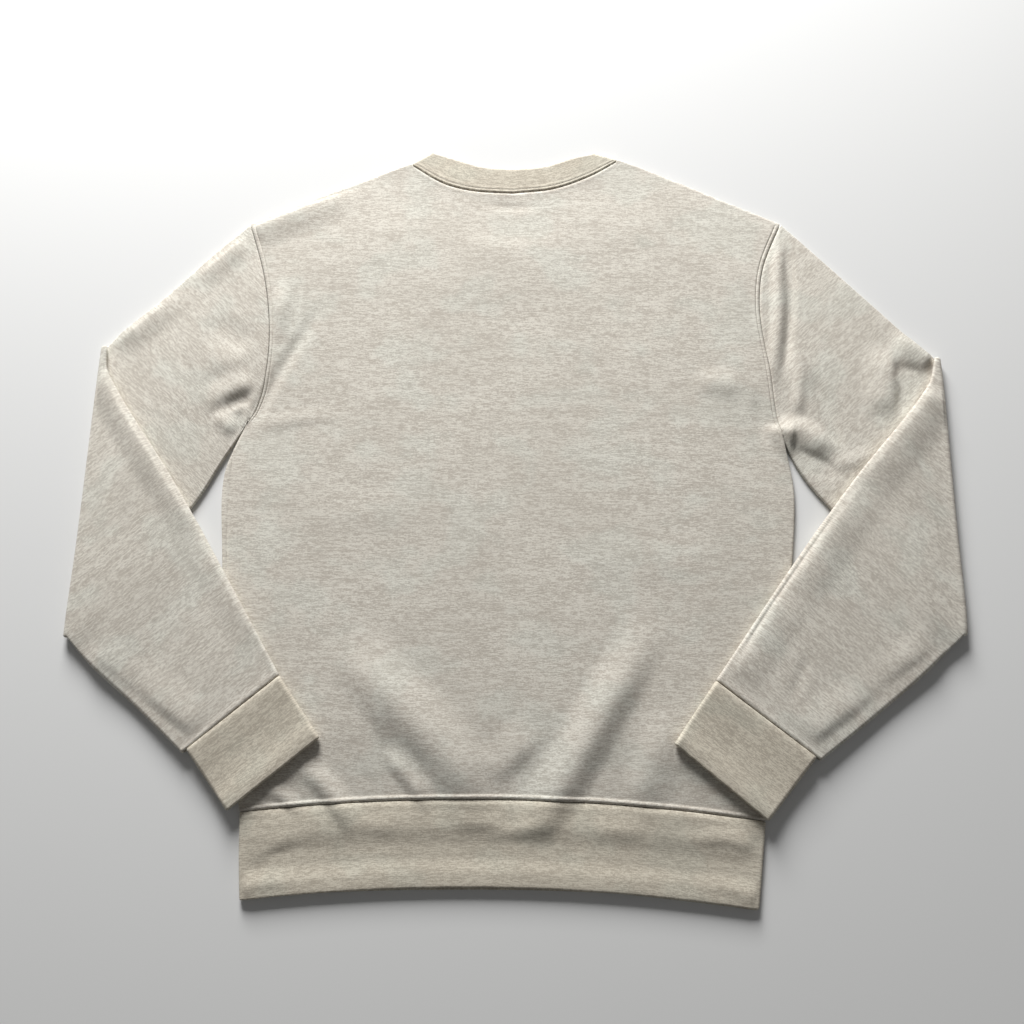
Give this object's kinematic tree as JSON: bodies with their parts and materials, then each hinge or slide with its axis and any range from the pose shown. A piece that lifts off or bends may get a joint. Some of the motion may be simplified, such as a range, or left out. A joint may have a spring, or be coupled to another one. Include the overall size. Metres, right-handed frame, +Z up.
{
  "type": "crewneck sweatshirt",
  "caption": "Brushed fleece crewneck sweatshirt laid flat on its front, sleeves folded in over the lower back, with ribbed neckband, cuffs and hem.",
  "frame": {"origin": "middle of the garment's plan box, on the surface that it lies on", "axes": "+Z up out of the back panel, +Y from the hem to the neckband, +X to the wearer's right sleeve"},
  "size_m": [0.7935, 0.6929, 0.0139],
  "materials": {
    "fleece": "oatmeal melange jersey face of brushed fleece, matt, with short pale and grey streaks along the courses",
    "rib": "the same yarn in a fine rib, slightly warmer and darker"
  },
  "bodies": {
    "root": {"front_panel": "fleece", "back_panel": "fleece", "sleeve_left": "fleece", "sleeve_right": "fleece", "neck_rib": "rib", "hem_rib": "rib", "cuff_left": "rib", "cuff_right": "rib"}
  },
  "joints": []
}
